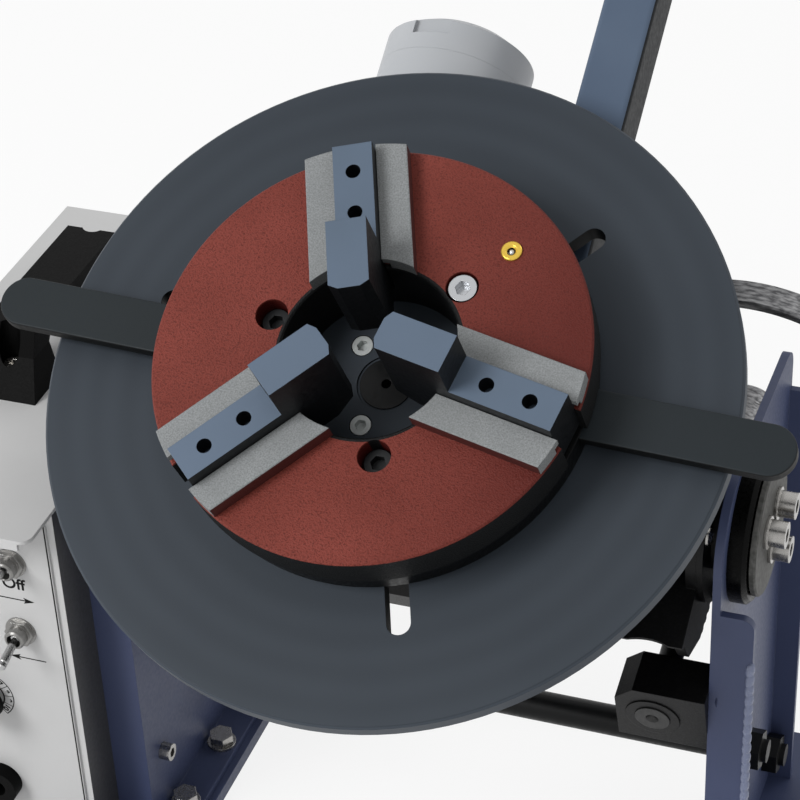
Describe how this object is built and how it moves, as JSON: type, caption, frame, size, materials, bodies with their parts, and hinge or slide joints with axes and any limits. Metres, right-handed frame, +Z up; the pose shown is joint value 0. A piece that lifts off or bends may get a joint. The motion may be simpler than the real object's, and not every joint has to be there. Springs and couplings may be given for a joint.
{
  "type": "welding positioner",
  "caption": "Bench welding positioner: a tilting gearbox turns a slotted table with a lever-scroll chuck, between folded uprights with a side control box.",
  "frame": {"origin": "on the bench, centre of the four foot-bar bolt holes, under the tilt axis", "axes": "+X to the right along the tilt axis, +Y to the back, +Z up; the table faces up and to the front, 32.67 degrees from level"},
  "size_m": [0.4922, 0.4416, 0.4929],
  "materials": {
    "frame_paint": "satin, smooth",
    "box_paint": "satin with a fine orange peel",
    "panel_print": "satin printed sheet",
    "red_paint": "rough painted casting",
    "motor_paint": "satin",
    "arm_paint": "satin",
    "table_steel": "blackened, finely turned",
    "ground_steel": "ground",
    "cap_steel": "turned",
    "blued_steel": "blued and ground",
    "black_steel": "black oxide",
    "core_steel": "varnished sheets",
    "black_castings": "black enamel",
    "zinc": "bright zinc",
    "chrome": "polished",
    "brass": "polished",
    "bronze": "machined",
    "black_moulding": "fine texture",
    "board_resin": "semi-matte"
  },
  "bodies": {
    "frame": {"foot_bars": "frame_paint", "upright_left": "frame_paint", "upright_right": "frame_paint", "frame_bolts": "zinc", "tie_rods": "black_steel", "trunnion_housings": "black_castings", "trunnion_bushes": "bronze", "housing_screws": "black_steel", "worm_blocks": "black_castings", "worm_bushes": "bronze", "worm_block_screws": "frame_paint", "control_box": "box_paint", "box_lid": "box_paint", "control_panel": "panel_print", "box_fasteners": "zinc", "box_spacers": "zinc", "box_screws": "zinc", "carry_handle": "black_moulding", "transformer": "core_steel", "drive_board": "board_resin", "switch_bodies": "chrome", "speed_pot": "zinc", "pedal_socket": "black_moulding", "fuse_holder": "black_moulding", "cable_gland": "black_moulding"},
    "power_switch": {"power_toggle": "chrome"},
    "direction_switch": {"direction_toggle": "chrome"},
    "speed_dial": {"speed_knob": "black_moulding"},
    "tilt_screw": {"tilt_worm": "ground_steel", "handwheel": "chrome", "grip_bolt": "zinc"},
    "crank_grip": {"handwheel_grip": "black_moulding"},
    "tilt_head": {"tilt_casting": "black_castings", "gearbox_cover": "black_castings", "gearbox_screws": "zinc", "trunnion_shafts": "ground_steel", "trunnion_screws": "zinc", "trunnion_caps": "cap_steel", "tilt_sector": "ground_steel", "gearbox_bearings": "ground_steel", "drive_motor": "motor_paint", "motor_cap": "motor_paint", "torch_arm": "arm_paint", "torch_arm_screws": "zinc", "torch_arm_plugs": "black_moulding"},
    "drive_shaft": {"drive_worm": "ground_steel"},
    "table": {"spindle": "black_steel", "spindle_wheel": "bronze", "turntable": "table_steel", "table_screws": "zinc", "chuck_body": "red_paint", "jaw_ways": "ground_steel", "chuck_screws": "black_steel", "oiler": "brass"},
    "scroll": {"scroll_ring": "black_steel", "lever_bars": "black_steel"},
    "jaw_right": {"jaw_1": "blued_steel"},
    "jaw_upper": {"jaw_2": "blued_steel"},
    "jaw_lower": {"jaw_3": "blued_steel"}
  },
  "joints": [
    {"name": "tilt", "type": "hinge", "parent": "frame", "child": "tilt_head", "pos_m": [0, 0, 0.248], "axis": [1, 0, 0], "range_deg": [-32.67, 57.33]},
    {"name": "tilt_screw_turn", "type": "hinge", "parent": "frame", "child": "tilt_screw", "pos_m": [0.124, 0.02017, 0.18202], "axis": [0, 0.9563, 0.2924], "range_deg": [-3441, 1962]},
    {"name": "grip_spin", "type": "hinge", "parent": "tilt_screw", "child": "crank_grip", "pos_m": [0.18649, 0.17772, 0.25397], "axis": [0, 0.9563, 0.2924], "continuous": true},
    {"name": "table_turn", "type": "hinge", "parent": "tilt_head", "child": "table", "pos_m": [0, -0.05398, 0.33218], "axis": [0, -0.5398, 0.8418], "continuous": true},
    {"name": "drive_shaft_turn", "type": "hinge", "parent": "tilt_head", "child": "drive_shaft", "pos_m": [-0.0355, -0.0135, 0.26904], "axis": [0, 0.8418, 0.5398], "continuous": true},
    {"name": "scroll_turn", "type": "hinge", "parent": "table", "child": "scroll", "pos_m": [0, -0.05776, 0.33807], "axis": [0, -0.5398, 0.8418], "range_deg": [-450, 1080]},
    {"name": "jaw_right_slide", "type": "slide", "parent": "table", "child": "jaw_right", "axis": [0.9792, -0.1707, -0.1095], "range_m": [-0.0101, 0.0241]},
    {"name": "jaw_upper_slide", "type": "slide", "parent": "table", "child": "jaw_upper", "axis": [-0.314, 0.7992, 0.5125], "range_m": [-0.0101, 0.0241]},
    {"name": "jaw_lower_slide", "type": "slide", "parent": "table", "child": "jaw_lower", "axis": [-0.6652, -0.6285, -0.403], "range_m": [-0.0101, 0.0241]},
    {"name": "power_switch_throw", "type": "hinge", "parent": "frame", "child": "power_switch", "pos_m": [-0.1961, -0.0775, 0.2006], "axis": [1, 0, 0], "range_deg": [0, 28]},
    {"name": "direction_switch_throw", "type": "hinge", "parent": "frame", "child": "direction_switch", "pos_m": [-0.1965, -0.0775, 0.1572], "axis": [1, 0, 0], "range_deg": [-28, 0]},
    {"name": "speed_dial_turn", "type": "hinge", "parent": "frame", "child": "speed_dial", "pos_m": [-0.222, -0.0715, 0.109], "axis": [0, -1, 0], "range_deg": [-90, 180]}
  ],
  "couplings": [
    {"joint": "tilt_screw_turn", "follows": "tilt", "ratio": -60},
    {"joint": "drive_shaft_turn", "follows": "table_turn", "ratio": 36},
    {"joint": "jaw_right_slide", "follows": "scroll_turn", "m_per_rad": 0.0012732},
    {"joint": "jaw_upper_slide", "follows": "scroll_turn", "m_per_rad": 0.0012732},
    {"joint": "jaw_lower_slide", "follows": "scroll_turn", "m_per_rad": 0.0012732}
  ]
}
